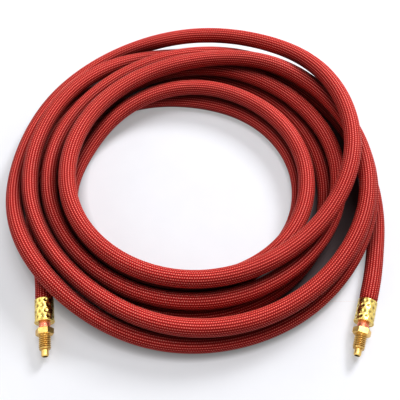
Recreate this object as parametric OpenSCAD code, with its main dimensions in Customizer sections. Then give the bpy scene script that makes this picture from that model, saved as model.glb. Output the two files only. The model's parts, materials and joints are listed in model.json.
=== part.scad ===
// Gas-cooled torch power cable: a braided hose with a copper conductor inside it,
// coiled flat for storage, with a crimped ferrule and a male brass fitting on each end.
// Millimetres. The origin is on the floor, under the middle of the part. +Z is up.

/* [Hose] */
// Bore of the hose, where the shielding gas flows
hose_bore = 9; // [8:0.5:10]
// Wall of the hose's rubber liner
liner_wall = 1.2; // [0.6:0.1:1.8]
// Wall of the braided cover over the liner
cover_wall = 1.55; // [1.2:0.05:2]
// Diameter of the stranded copper conductor
conductor_d = 5.4; // [4:0.2:6]

/* [Coil] */
// Radius of the widest loop, at the middle of the hose
coil_r = 163; // [158:1:200]
// Free space between one strand and the next
lay_gap = 0.6; // [0.6:0.1:1.2]

/* [Ferrules] */
// Length of a ferrule, rim included
ferrule_len = 19.5; // [16:0.5:24]
// Wall of a ferrule
ferrule_wall = 0.7; // [0.5:0.1:1]
// How far a ferrule squeezes the cover, on each side
crimp = 0.3; // [0.1:0.05:0.5]
// Width of the rolled rim at the front of a ferrule
rim_len = 1.3; // [1:0.1:2]
// Height of the rolled rim over the ferrule
rim_rise = 0.5; // [0.3:0.1:0.8]
// Rows of crimp marks along a ferrule
mark_rows = 4; // [3:1:5]
// Crimp marks in one row
mark_count = 10; // [8:1:12]
// Depth of a crimp mark
mark_depth = 0.3; // [0.2:0.05:0.4]

/* [Fittings] */
// Diameter of the neck between a ferrule and its hexagon
neck_d = 8.5; // [7.5:0.1:9]
// Visible length of the neck
neck_len = 5; // [4:0.5:8]
// Width of the hexagon across its flats
hex_af = 12.7; // [11:0.1:14]
// Length of the hexagon
hex_len = 5.2; // [4:0.2:7]
// Major diameter of the thread
thread_d = 9.525; // [9:0.025:10]
// Length of the thread
thread_len = 11; // [8:0.5:14]
// Diameter of the nose that seals in the mating part
nose_d = 5.8; // [5:0.1:6.4]
// Length of the nose
nose_len = 4.9; // [4:0.2:7]
// Diameter of the gas bore through a fitting
gas_bore = 3.2; // [2.4:0.1:3.6]
// How far inside the ferrule the barbed shank starts
shank_inset = 1.2; // [0.6:0.1:2]
// How much wider than the hose's bore the barbs are
barb_bite = 0.4; // [0:0.1:0.6]
// Height of a barb
barb_height = 0.6; // [0.3:0.1:0.7]
// Barbs on the shank
barb_count = 4; // [3:1:5]
// Clearance between pieces that seat on each other
seat_gap = 0.05; // [0.03:0.01:0.1]

/* [Hidden] */
hose_d = hose_bore + 2 * liner_wall + 2 * cover_wall;
// From one strand to the next, beside it or on top of it
PITCH = hose_d + lay_gap;
FLOOR_CUT = hose_d / 10;
LAY_Z = hose_d / 2 - FLOOR_CUT;
// The coil's centre, seen from the part's origin
COIL_AT = [-2.3, 8.6];
// The narrowest loop is drawn in by this many strands along X and Y, and its centre is
// this many strands from the widest loop's centre
DRAWN_IN = [3.95, 4.45];
DRAWN_OFF = [-0.55, -1.25];
NARROW_R = [coil_r - DRAWN_IN.x * PITCH, coil_r - DRAWN_IN.y * PITCH];
NARROW_AT = DRAWN_OFF * PITCH;
// Loops from the right end of the coil to its left end
TURNS = 7.5;
RINGS_PER_TURN = 24;
COIL_SIDES = 6;
TAIL_SIDES = 12;
// How the hose was laid down, loop by loop. Each row is a place along the coil in turns,
// a share of the way in from the widest loop to the narrowest, and a layer.
// From the right tail along the floor, then lifted over both tails
LOOP_1 = [
    [0.00, 0.05, 0], [0.05, 0.13, 0], [0.10, 0.21, 0], [0.18, 0.25, 0], [0.27, 0.28, 0],
    [0.34, 0.30, 0.9], [0.40, 0.29, 1.1], [0.46, 0.37, 1.1], [0.52, 0.35, 1.1],
    [0.62, 0.37, 1.15], [0.68, 0.28, 1.25], [0.74, 0.12, 1.1], [0.86, 0.08, 1.1],
    [0.93, 0.08, 2]
];
// Thrown over the rest, from the outside to the inside and out again
LOOP_2 = [
    [1.00, 0.19, 2.05], [1.08, 0.31, 1.95], [1.15, 0.41, 2.1], [1.20, 0.55, 2.05],
    [1.25, 0.69, 2], [1.35, 0.88, 2.05], [1.43, 1.02, 2.15], [1.50, 1.08, 2.1], [1.60, 1.05, 2],
    [1.70, 0.93, 2], [1.77, 0.84, 2], [1.85, 0.76, 2], [1.92, 0.60, 2.1], [1.98, 0.40, 3]
];
// Down over the outside to the floor, then lifted over the left tail
LOOP_3 = [
    [2.04, 0.31, 3.15], [2.10, 0.22, 3], [2.18, 0.18, 1.9], [2.26, 0.13, 1.1],
    [2.34, 0.08, 0.2], [2.40, 0.05, 0], [2.50, 0.10, 0.2], [2.55, 0.03, 1.15],
    [2.58, -0.02, 1.45], [2.65, -0.01, 1.2], [2.70, -0.05, 0.2], [2.78, -0.03, 0],
    [2.88, -0.02, 0], [2.93, 0.01, 1]
];
// The middle layer, from the outside in
LOOPS_4_AND_5 = [
    [3.00, 0.10, 1.1], [3.08, 0.20, 1], [3.15, 0.28, 1], [3.25, 0.40, 1], [3.35, 0.57, 1],
    [3.42, 0.63, 0.95], [3.50, 0.69, 1.05], [3.62, 0.70, 0.95], [3.75, 0.60, 1],
    [3.85, 0.53, 1.05], [4.00, 0.47, 0.95], [4.12, 0.55, 1.05], [4.25, 0.60, 1],
    [4.35, 0.78, 1.1], [4.43, 0.91, 1.2], [4.50, 1.02, 1.05], [4.62, 1.06, 1], [4.75, 0.93, 1],
    [4.87, 0.90, 1]
];
// Down to the floor at the inside
LOOP_6 = [
    [5.00, 0.91, 1], [5.12, 0.89, 1], [5.25, 0.89, 1.05], [5.35, 1.01, 0.9], [5.43, 1.08, 0.15],
    [5.52, 0.99, 0], [5.60, 0.97, 0], [5.75, 0.92, 0]
];
// The lowest layer, out again to the left tail
LOOPS_7_AND_8 = [
    [6.00, 0.97, 0], [6.25, 0.95, 0], [6.35, 0.82, 0], [6.50, 0.67, 0], [6.62, 0.57, 0],
    [6.75, 0.44, 0], [6.87, 0.50, 0], [7.00, 0.64, 0.05], [7.25, 0.59, 0], [7.40, 0.35, 0],
    [7.50, 0.37, 0]
];
LIE = concat(LOOP_1, LOOP_2, LOOP_3, LOOPS_4_AND_5, LOOP_6, LOOPS_7_AND_8);
// Each bend in LIE is rounded over this share of a turn
EASE = 0.08;
// Where each tail lies on the floor, as turns and shares like those of LIE, from the
// coil's end to its fitting
LEFT_LIE = [[7.530, 0.33], [7.555, 0.29], [7.582, 0.21], [7.606, 0.04]];
RIGHT_LIE = [[-0.034, -0.05], [-0.056, -0.13], [-0.079, -0.23], [-0.100, -0.36]];
// Where each ferrule starts, and the angle its fitting points at
LEFT_END = [7.630, -0.30];
LEFT_HEADING = -82;
RIGHT_END = [-0.123, -0.54];
RIGHT_HEADING = -108;

RING_COUNT = TURNS * RINGS_PER_TURN;
SHARES = [for (row = LIE) [row[0], row[1]]];
LAYERS = [for (row = LIE) [row[0], row[2]]];

ferrule_bore = hose_d - 2 * crimp;
ferrule_d = ferrule_bore + 2 * ferrule_wall;
rim_d = ferrule_d + 2 * rim_rise;
rim_x = ferrule_len - rim_len;
// The rims rest on the floor, so this is the height of the fittings' axes
axis_z = rim_d / 2;
liner_d = hose_bore + 2 * liner_wall;
barb_d = hose_bore + barb_bite;
barb_root_d = barb_d - 2 * barb_height;
// The collar that locks the liner and the cover in the ferrule
collar_len = 2;
collar_x = rim_x - seat_gap - collar_len;
shank_len = collar_x - shank_inset;
// The conductor's seat takes up this share of the shank, and a gas chamber lies behind it
seat_share = 0.6;
seat_depth = shank_len * seat_share;
chamber_len = 1.5;
// Grooves beside the conductor's seat, which let the gas past
groove_count = 3;
groove_d = 1.4;
hex_x = ferrule_len + neck_len;
// The undercuts at both ends of the thread
relief_len = 0.8;
relief_depth = 0.6;
thread_x = hex_x + hex_len + relief_len;
nose_x = thread_x + thread_len + relief_len;
tip_x = nose_x + nose_len;
chamfer = 0.6;
// Rings turned on the neck: their number, and their width against the room each has
neck_ring_count = 3;
neck_ring_fill = 0.5;
neck_ring_step = neck_len / (neck_ring_count + neck_ring_fill);
// Width of a crimp mark against the room it has
mark_fill = 0.7;
mark_step = rim_x / mark_rows;
mark_d = rim_x / (mark_rows + 1) * mark_fill;
// Radius of the nose's round edge
nose_edge = nose_d * 0.3;
// How far a cut runs past the surface that it opens
OVERCUT = 1;
round_fn = 96;
small_fn = 32;

// ---- The route of the hose ----

function unit(v) = v / norm(v);
function level(v) = unit([v.x, v.y, 0]);
function heading(a) = [cos(a), sin(a), 0];
function reversed(list) = [for (i = [len(list) - 1:-1:0]) list[i]];

// A table's value at turn t, averaged over EASE turns so that the bends are round
function eased(table, t) =
    (lookup(t - EASE / 2, table) + lookup(t - EASE / 4, table) + lookup(t, table)
    + lookup(t + EASE / 4, table) + lookup(t + EASE / 2, table)) / 5;

// The point at turn t that is a share of the way in from the widest loop to the narrowest
function spot(t, share, z) =
    let (out = [cos(360 * t), sin(360 * t)])
    let (wide = coil_r * out)
    let (narrow = NARROW_AT + [NARROW_R.x * out.x, NARROW_R.y * out.y])
    let (p = COIL_AT + (1 - share) * wide + share * narrow)
    [p.x, p.y, z];

// The hose's centre at turn t of the coil
function spiral(t) = spot(t, eased(SHARES, t), LAY_Z + PITCH * eased(LAYERS, t));

LOOPS = [for (i = [0:RING_COUNT]) spiral(i / RINGS_PER_TURN)];
// Unit vectors that lead out of the coil at its right and left ends
COIL_OUT_RIGHT = level(LOOPS[0] - LOOPS[1]);
COIL_OUT_LEFT = level(LOOPS[RING_COUNT] - LOOPS[RING_COUNT - 1]);
COIL_PATH = concat(
    [LOOPS[0] + COIL_OUT_RIGHT * hose_d],
    LOOPS,
    [LOOPS[RING_COUNT] + COIL_OUT_LEFT * hose_d]
);

function end_at(end) = spot(end[0], end[1], axis_z);

// A tail's centre line, from the coil's end to the back of its ferrule
function tail_path(start, lie, end, angle) = concat(
    [start],
    [for (row = lie) spot(row[0], row[1], LAY_Z)],
    [end_at(end) - heading(angle) * hose_d, end_at(end)]
);

LEFT_PATH = tail_path(COIL_PATH[RING_COUNT + 2], LEFT_LIE, LEFT_END, LEFT_HEADING);
RIGHT_PATH = tail_path(COIL_PATH[0], RIGHT_LIE, RIGHT_END, RIGHT_HEADING);

// ---- The least gap between two strands ----

STEPS_PER_RING = 4;
// Points within half a turn of each other along the hose aren't two strands
SKIP = RINGS_PER_TURN / 2 * STEPS_PER_RING;
WHOLE_PATH = concat(reversed(RIGHT_PATH), COIL_PATH, LEFT_PATH);
FINE = [
    for (i = [0:len(WHOLE_PATH) - 2], k = [0:STEPS_PER_RING - 1])
    WHOLE_PATH[i] + (WHOLE_PATH[i + 1] - WHOLE_PATH[i]) * k / STEPS_PER_RING
];
function least_gap() = min([
    for (i = [0:len(FINE) - SKIP - 2])
    min([for (j = [i + SKIP:len(FINE) - 1]) norm(FINE[i] - FINE[j])])
]) - hose_d;
function path_length(path) =
    [for (i = [1:len(path) - 1]) norm(path[i] - path[i - 1])]
    * [for (i = [1:len(path) - 1]) 1];

// ---- Tubes along a route ----

// The points of one ring of a tube. A corner of its outline points straight down.
function ring(centre, along, r, sides) =
    let (side = unit(cross(along, [0, 0, 1])))
    let (up = cross(side, along))
    [
        for (k = [0:sides - 1])
        let (a = 360 * k / sides - 90)
        centre + r * (cos(a) * side + sin(a) * up)
    ];

function along_at(path, i, first, last) =
    i == 0 ? first
    : i == len(path) - 1 ? last
    : unit(unit(path[i + 1] - path[i]) + unit(path[i] - path[i - 1]));

// The side of a tube, as triangles from ring to ring. from is its first point's number.
function side_faces(rings, sides, from, inside) = [
    for (i = [0:rings - 2], k = [0:sides - 1])
    let (a = from + i * sides + k)
    let (b = from + i * sides + (k + 1) % sides)
    for (face = [[a, b, a + sides], [b, b + sides, a + sides]])
    inside ? face : [face[2], face[1], face[0]]
];

// A flat ring of triangles between the outer and inner outlines of an end
function end_faces(outer, inner, sides, last) = [
    for (k = [0:sides - 1])
    let (n = (k + 1) % sides)
    for (face = [[outer + k, outer + n, inner + k], [outer + n, inner + n, inner + k]])
    last ? [face[2], face[1], face[0]] : face
];

// A flat end of a solid tube, as a fan of triangles
function fan_faces(from, sides, last) = [
    for (k = [1:sides - 2])
    last ? [from + k + 1, from + k, from] : [from, from + k, from + k + 1]
];

// A tube along path, square to first at its start and to last at its end.
// bore 0 makes it solid.
module tube(path, d, bore, sides, first, last) {
    rings = len(path);
    count = rings * sides;
    outer = [
        for (i = [0:rings - 1])
        each ring(path[i], along_at(path, i, first, last), d / 2, sides)
    ];
    inner = [
        for (i = [0:rings - 1])
        each ring(path[i], along_at(path, i, first, last), bore / 2, sides)
    ];
    if (bore > 0) {
        polyhedron(
            concat(outer, inner),
            concat(
                side_faces(rings, sides, 0, false),
                side_faces(rings, sides, count, true),
                end_faces(0, count, sides, false),
                end_faces(count - sides, 2 * count - sides, sides, true)
            )
        );
    } else {
        polyhedron(
            outer,
            concat(
                side_faces(rings, sides, 0, false),
                fan_faces(0, sides, false),
                fan_faces(count - sides, sides, true)
            )
        );
    }
}

// Cuts its child flat where it lies on the floor
module laid_flat() {
    reach = 2 * coil_r;
    difference() {
        children();
        translate([-reach, -reach, -hose_d])
            cube([2 * reach, 2 * reach, hose_d]);
    }
}

// ---- The hose ----

module hose_coil() {
    echo(least_gap_mm = least_gap());
    echo(hose_length_mm = path_length(RIGHT_PATH) + path_length(COIL_PATH) + path_length(LEFT_PATH));
    color("firebrick")
        laid_flat()
        tube(COIL_PATH, hose_d, hose_bore, COIL_SIDES, -COIL_OUT_RIGHT, COIL_OUT_LEFT);
}

module hose_tail_left() {
    color("firebrick")
        laid_flat()
        tube(LEFT_PATH, hose_d, hose_bore, TAIL_SIDES, COIL_OUT_LEFT, heading(LEFT_HEADING));
}

module hose_tail_right() {
    color("firebrick")
        laid_flat()
        tube(RIGHT_PATH, hose_d, hose_bore, TAIL_SIDES, COIL_OUT_RIGHT, heading(RIGHT_HEADING));
}

// ---- The conductor ----

module conductor_coil() {
    color("peru")
        tube(COIL_PATH, conductor_d, 0, COIL_SIDES, -COIL_OUT_RIGHT, COIL_OUT_LEFT);
}

module conductor_tail_left() {
    color("peru")
        tube(LEFT_PATH, conductor_d, 0, TAIL_SIDES, COIL_OUT_LEFT, heading(LEFT_HEADING));
}

module conductor_tail_right() {
    color("peru")
        tube(RIGHT_PATH, conductor_d, 0, TAIL_SIDES, COIL_OUT_RIGHT, heading(RIGHT_HEADING));
}

// ---- The ends: each lies along +Z from the back of its ferrule ----

// A stretch of a turned piece, from x to x + length along its axis
module turned(x, length, d) {
    translate([0, 0, x])
        cylinder(h = length, d = d, $fn = round_fn);
}

// The barbs of a shank: each rises from the root towards the ferrule's front
module barbs(spare) {
    barb_len = shank_len / barb_count;
    for (i = [0:barb_count - 1])
        translate([0, 0, shank_inset + i * barb_len])
            cylinder(
                h = barb_len,
                d1 = barb_root_d + 2 * spare,
                d2 = barb_d + 2 * spare,
                $fn = round_fn
            );
}

module conductor_end() {
    color("peru")
        turned(0, shank_inset + seat_depth, conductor_d);
}

module liner_end() {
    color("dimgray")
        difference() {
            turned(0, collar_x - seat_gap, liner_d);
            turned(-OVERCUT, collar_x + 2 * OVERCUT, barb_root_d + 2 * seat_gap);
            barbs(seat_gap);
        }
}

module cover_end() {
    color("firebrick")
        difference() {
            turned(0, collar_x - seat_gap, ferrule_bore - 2 * seat_gap);
            turned(-OVERCUT, collar_x + 2 * OVERCUT, liner_d + 2 * seat_gap);
        }
}

// Crimp marks in staggered rows round a ferrule
module crimp_marks() {
    for (row = [0:mark_rows - 1], i = [0:mark_count - 1])
        rotate(360 * (i + row / 2) / mark_count)
            translate([ferrule_d / 2 - mark_depth, 0, (row + 0.5) * mark_step])
            rotate([0, 90, 0])
            cylinder(h = ferrule_wall, d = mark_d, $fn = small_fn);
}

module ferrule() {
    color("goldenrod")
        difference() {
            union() {
                turned(0, ferrule_len, ferrule_d);
                translate([0, 0, rim_x + rim_len / 2])
                    rotate_extrude($fn = round_fn)
                    translate([rim_d / 2 - rim_len / 2, 0])
                    circle(d = rim_len, $fn = small_fn);
                turned(rim_x, rim_len, rim_d - rim_len);
            }
            turned(-OVERCUT, rim_x + OVERCUT, ferrule_bore);
            turned(0, ferrule_len + OVERCUT, neck_d + 2 * seat_gap);
            crimp_marks();
        }
}

// The hexagon, with a flat on top and its corners chamfered at both ends
module hexagon() {
    corner_d = hex_af / cos(30);
    intersection() {
        translate([0, 0, hex_x])
            rotate(30)
            cylinder(h = hex_len, d = corner_d, $fn = 6);
        translate([0, 0, hex_x])
            rotate_extrude($fn = round_fn)
            polygon([
                [0, 0], [hex_af / 2 - chamfer / 2, 0], [corner_d / 2, chamfer],
                [corner_d / 2, hex_len - chamfer], [hex_af / 2 - chamfer / 2, hex_len],
                [0, hex_len]
            ]);
    }
}

// The nose: a short cylinder that ends in a round sealing face
module nose() {
    translate([0, 0, nose_x])
        rotate_extrude($fn = round_fn)
        union() {
            square([nose_d / 2, nose_len - nose_edge]);
            square([nose_d / 2 - nose_edge, nose_len]);
            intersection() {
                translate([nose_d / 2 - nose_edge, nose_len - nose_edge])
                    circle(r = nose_edge, $fn = small_fn);
                square([nose_d / 2, nose_len]);
            }
        }
}

// Rings turned on the neck
module neck_rings() {
    for (i = [0:neck_ring_count - 1])
        translate([0, 0, ferrule_len + (i + (1 + neck_ring_fill) / 2) * neck_ring_step])
            rotate_extrude($fn = round_fn)
            translate([neck_d / 2, 0])
            circle(d = neck_ring_step * neck_ring_fill, $fn = small_fn);
}

module gas_grooves() {
    for (i = [0:groove_count - 1])
        rotate(360 * i / groove_count)
            translate([conductor_d / 2, 0, 0])
            turned(shank_inset - OVERCUT, seat_depth + chamber_len + OVERCUT, groove_d);
}

module fitting() {
    color("gold")
        difference() {
            union() {
                barbs(0);
                turned(collar_x, collar_len, liner_d);
                turned(collar_x, hex_x - collar_x, neck_d);
                neck_rings();
                hexagon();
                turned(hex_x, thread_x - hex_x, thread_d - 2 * relief_depth);
                turned(thread_x, thread_len, thread_d);
                turned(thread_x, nose_x - thread_x, nose_d - relief_depth);
                nose();
            }
            turned(shank_inset - OVERCUT, tip_x - shank_inset + 2 * OVERCUT, gas_bore);
            turned(
                shank_inset - OVERCUT,
                seat_depth + chamber_len + OVERCUT,
                conductor_d + 2 * seat_gap
            );
            gas_grooves();
        }
}

// Puts its children at an end of the hose
module placed(end, angle) {
    translate(end_at(end))
        rotate([0, 0, angle])
        rotate([0, 90, 0])
        children();
}

module left() {
    placed(LEFT_END, LEFT_HEADING)
        children();
}

module right() {
    placed(RIGHT_END, RIGHT_HEADING)
        children();
}

hose_coil();
hose_tail_left();
hose_tail_right();
conductor_coil();
conductor_tail_left();
conductor_tail_right();
left() conductor_end();  // conductor_end_left
right() conductor_end();  // conductor_end_right
left() liner_end();  // liner_end_left
right() liner_end();  // liner_end_right
left() cover_end();  // cover_end_left
right() cover_end();  // cover_end_right
left() ferrule();  // ferrule_left
right() ferrule();  // ferrule_right
left() fitting();  // fitting_left
right() fitting();  // fitting_right
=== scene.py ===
"""Dresses a coiled, gas-cooled torch power cable: a braided red hose with a crimped
brass ferrule and a male brass fitting on each end, lying on a pale studio floor."""

from __future__ import annotations

import json
import logging
import math
from dataclasses import dataclass
from enum import Enum
from typing import Any, Callable, Sequence

import bpy
import numpy as np
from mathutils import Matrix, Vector

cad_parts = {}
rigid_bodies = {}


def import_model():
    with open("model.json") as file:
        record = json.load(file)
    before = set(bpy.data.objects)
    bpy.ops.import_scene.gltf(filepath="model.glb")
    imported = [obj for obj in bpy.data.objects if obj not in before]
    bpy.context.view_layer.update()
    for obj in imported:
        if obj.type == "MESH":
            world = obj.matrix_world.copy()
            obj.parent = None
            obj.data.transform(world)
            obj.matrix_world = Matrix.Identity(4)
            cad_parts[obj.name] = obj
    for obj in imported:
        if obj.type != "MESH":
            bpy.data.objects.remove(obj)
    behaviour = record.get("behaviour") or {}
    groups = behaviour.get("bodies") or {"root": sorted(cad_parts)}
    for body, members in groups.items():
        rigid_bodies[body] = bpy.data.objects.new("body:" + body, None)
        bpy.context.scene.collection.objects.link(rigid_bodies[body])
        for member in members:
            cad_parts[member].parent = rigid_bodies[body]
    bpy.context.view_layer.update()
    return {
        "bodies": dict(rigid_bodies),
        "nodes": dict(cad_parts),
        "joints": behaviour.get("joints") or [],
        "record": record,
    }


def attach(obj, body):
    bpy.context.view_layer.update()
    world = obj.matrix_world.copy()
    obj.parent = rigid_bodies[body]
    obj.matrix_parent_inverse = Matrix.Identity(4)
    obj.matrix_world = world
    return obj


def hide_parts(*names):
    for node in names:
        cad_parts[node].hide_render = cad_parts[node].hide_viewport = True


LOG = logging.getLogger("cable")
MM = 0.001
BODY = "root"
LAY_MAP = "lay"
BAKE_MAP = "OFBake"
MAP_MARGIN = 0.04
TURN = 2 * math.pi
Array = np.ndarray
Colour = tuple[float, ...]
Pair = tuple[float, float]
Triple = tuple[float, float, float]
Piece = bpy.types.Object
Material = bpy.types.Material
Socket = bpy.types.NodeSocket


class End(Enum):
    """The two ends of the cable."""

    LEFT = "left"
    RIGHT = "right"


class Slot(Enum):
    """The record's material slots."""

    BRAID = "braid"
    LINER = "liner"
    COPPER = "copper"
    FERRULE = "ferrule"
    FITTING = "fitting"


# ---- Node graphs ----


class Graph:
    """A material's or a sky's node tree, with short calls that add and join nodes."""

    def __init__(self, name: str, sky: bool = False) -> None:
        """Starts an empty material or sky.

        Args:
            name: its name.
            sky: whether it is a sky.
        """
        self.owner = (bpy.data.worlds if sky else bpy.data.materials).new(name)
        self.owner.use_nodes = True
        self.tree = self.owner.node_tree
        self.tree.nodes.clear()

    def node(self, kind: str, **settings: Any) -> bpy.types.Node:
        """Adds a node.

        Args:
            kind: the node's type, without its ShaderNode prefix.
            settings: properties to set on it.

        Returns:
            The new node.
        """
        made = self.tree.nodes.new("ShaderNode" + kind)
        for key, value in settings.items():
            setattr(made, key, value)
        return made

    def feed(self, socket: Socket, value: Any) -> None:
        """Links a socket to another, or sets its value.

        Args:
            socket: the input socket.
            value: an output socket, a number or a tuple.
        """
        if isinstance(value, Socket):
            self.tree.links.new(value, socket)
        else:
            socket.default_value = value

    def math(self, operation: str, *values: Any, clamp: bool = False) -> Socket:
        """Adds a Math node.

        Args:
            operation: its operation's name.
            values: one to three inputs, sockets or numbers.
            clamp: whether the result stays within 0 and 1.

        Returns:
            The result's socket.
        """
        made = self.node("Math", operation=operation, use_clamp=clamp)
        for socket, value in zip(made.inputs, values):
            self.feed(socket, value)
        return made.outputs[0]

    def blend(self, share: Any, low: Any, high: Any) -> Socket:
        """Mixes two colours.

        Args:
            share: how much of the second colour shows.
            low: the first colour.
            high: the second colour.

        Returns:
            The mixed colour's socket.
        """
        made = self.node("Mix", data_type="RGBA")
        for key, value in ((0, share), (6, low), (7, high)):
            self.feed(made.inputs[key], value)
        return made.outputs[2]

    def span(self, value: Any, source: Pair, target: Pair) -> Socket:
        """Maps a number from one range to another, clamped.

        Args:
            value: the number's socket.
            source: the range it comes from.
            target: the range it goes to.

        Returns:
            The mapped number's socket.
        """
        made = self.node("MapRange", clamp=True)
        for socket, item in zip(made.inputs, (value, *source, *target)):
            self.feed(socket, item)
        return made.outputs[0]

    def noise(self, vector: Any, scale: float, detail: float) -> Socket:
        """Adds a noise texture.

        Args:
            vector: the place it is read at.
            scale: cells per unit of that place.
            detail: octaves of finer noise.

        Returns:
            Its value's socket, from 0 to 1.
        """
        made = self.node("TexNoise")
        self.feed(made.inputs["Vector"], vector)
        self.feed(made.inputs["Scale"], scale)
        self.feed(made.inputs["Detail"], detail)
        return made.outputs[0]

    def place(self) -> Socket:
        """Returns the surface's place in the object's own coordinates, in metres."""
        return self.node("TexCoord").outputs["Object"]

    def along_and_around(self) -> tuple[Socket, Socket]:
        """Reads the piece's own map.

        Returns:
            The length along the piece in metres, and the share of the way round it.
        """
        uv = self.node("UVMap", uv_map=LAY_MAP)
        parts = self.node("SeparateXYZ")
        self.feed(parts.inputs[0], uv.outputs[0])
        return parts.outputs[0], parts.outputs[1]

    def worn(self, name: str) -> Socket:
        """Reads a number stored on the piece's points.

        Args:
            name: the attribute's name.

        Returns:
            Its value's socket.
        """
        return self.node("Attribute", attribute_name=name).outputs["Fac"]

    def raised(self, height: Any, depth: float, strength: float,
               under: Socket | None = None) -> Socket:
        """Adds a bump.

        Args:
            height: the height's socket, from 0 to 1.
            depth: what a height of 1 is, in metres.
            strength: how much of the bump shows.
            under: the normal that it is added to.

        Returns:
            The normal's socket.
        """
        made = self.node("Bump")
        made.inputs["Strength"].default_value = strength
        made.inputs["Distance"].default_value = depth
        self.feed(made.inputs["Height"], height)
        if under is not None:
            self.feed(made.inputs["Normal"], under)
        return made.outputs[0]

    def surface(self, inputs: dict[str, Any]) -> Material:
        """Ends the graph in one Principled shader.

        Args:
            inputs: sockets or plain values for its inputs, by name.

        Returns:
            The finished material.
        """
        shader = self.node("BsdfPrincipled")
        for key, value in inputs.items():
            self.feed(shader.inputs[key], value)
        out = self.node("OutputMaterial")
        self.feed(out.inputs["Surface"], shader.outputs[0])
        return self.owner


def linear(red: int, green: int, blue: int) -> Colour:
    """Turns a screen colour into a linear one.

    Args:
        red: from 0 to 255.
        green: from 0 to 255.
        blue: from 0 to 255.

    Returns:
        The linear colour with an alpha of 1.
    """
    parts = [
        c / 12.92 if c <= 0.04045 else ((c + 0.055) / 1.055) ** 2.4
        for c in (red / 255, green / 255, blue / 255)
    ]
    return (parts[0], parts[1], parts[2], 1.0)


# ---- Finishes ----


@dataclass(frozen=True)
class BraidFinish:
    """Red yarn, braided in narrow ribs that run along the hose."""

    ribs: int
    name: str = "red_braid"
    pick: float = 1.9 * MM
    yarns: float = 4.0
    stitch_depth: float = 0.38 * MM
    yarn_depth: float = 0.05 * MM
    # A painted highlight on the stitch crests.
    crest: Colour = linear(255, 180, 162)
    body: Colour = linear(210, 38, 33)
    # Dark red for the painted shade in the rib valleys and between stitches; also the
    # random flecks.
    groove_shade_and_fleck: Colour = linear(46, 1, 3)
    fade: Colour = linear(200, 50, 40)
    # Painted shade where two lengths of the hose touch and where it rests on the
    # floor.
    contact_shade: Colour = linear(14, 1, 2)
    rough: Pair = (0.28, 0.42)
    rib_offset: float = 0.5
    stitch_lean: float = 0.9
    stitch_round: float = 0.6
    yarn_lean: float = 0.35
    contact_shade_rough: float = 0.3
    specular: float = 0.14

    def build(self) -> Material:
        """Returns the material: ribs, stitches, yarns, fading, painted shade, painted
        highlights and a soft gloss.
        """
        g = Graph(self.name)
        along, around = g.along_and_around()
        column = g.math("MULTIPLY", around, float(self.ribs))
        across = g.math("FRACT", column)
        off = g.math("MODULO", g.math("FLOOR", column), 2.0)
        lean = g.math("ABSOLUTE", g.math("SUBTRACT", across, 0.5))
        row = g.math("DIVIDE", along, self.pick)
        row = g.math("ADD", row, g.math("MULTIPLY", off, self.rib_offset))
        row = g.math("ADD", row, g.math("MULTIPLY", lean, self.stitch_lean))
        length = g.math("ABSOLUTE", g.math("SINE", g.math("MULTIPLY", row, math.pi)))
        width = g.math("SINE", g.math("MULTIPLY", across, math.pi))
        stitch = g.math("POWER", length, self.stitch_round)
        dome = g.math("MULTIPLY", stitch, width)
        yarn = g.math("ADD", across, g.math("MULTIPLY", row, self.yarn_lean))
        yarn = g.math("SINE", g.math("MULTIPLY", yarn, TURN * self.yarns))
        yarn = g.span(yarn, (-1.0, 1.0), (0.0, 1.0))
        spot = g.place()
        wear = g.noise(spot, 9.0, 3.0)
        fleck = g.noise(spot, 900.0, 1.0)
        # Painted shade: the rib valleys and the rows between stitches are darkened.
        colour = g.blend(g.span(width, (0.02, 0.55), (0.0, 1.0)), self.groove_shade_and_fleck, self.body)
        colour = g.blend(g.span(length, (0.0, 0.5), (0.6, 0.0)), colour, self.groove_shade_and_fleck)
        # Painted highlight: the tops of the stitches are lightened toward pale pink.
        colour = g.blend(g.span(dome, (0.80, 1.0), (0.0, 0.9)), colour, self.crest)
        faded = g.blend(g.span(dome, (0.2, 0.8), (0.0, 1.0)), self.groove_shade_and_fleck, self.fade)
        colour = g.blend(g.span(wear, (0.45, 0.75), (0.0, 0.4)), colour, faded)
        colour = g.blend(g.span(fleck, (0.5, 0.85), (0.0, 0.3)), colour, self.groove_shade_and_fleck)
        # Painted shade: darker where two lengths of the hose touch and where it rests
        # on the floor.
        contact_shade_mask = g.worn("contact_shade")
        colour = g.blend(contact_shade_mask, colour, self.contact_shade)
        rough = g.math("ADD", g.span(fleck, (0.3, 0.8), self.rough),
                       g.span(dome, (0.3, 0.9), (0.5, 0.0)))
        rough = g.math("ADD", rough, g.math("MULTIPLY", contact_shade_mask, self.contact_shade_rough),
                       clamp=True)
        normal = g.raised(dome, self.stitch_depth, 0.7)
        normal = g.raised(yarn, self.yarn_depth, 0.5, normal)
        return g.surface({
            "Base Color": colour, "Roughness": rough, "Normal": normal,
            "Specular IOR Level": self.specular,
        })


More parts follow.
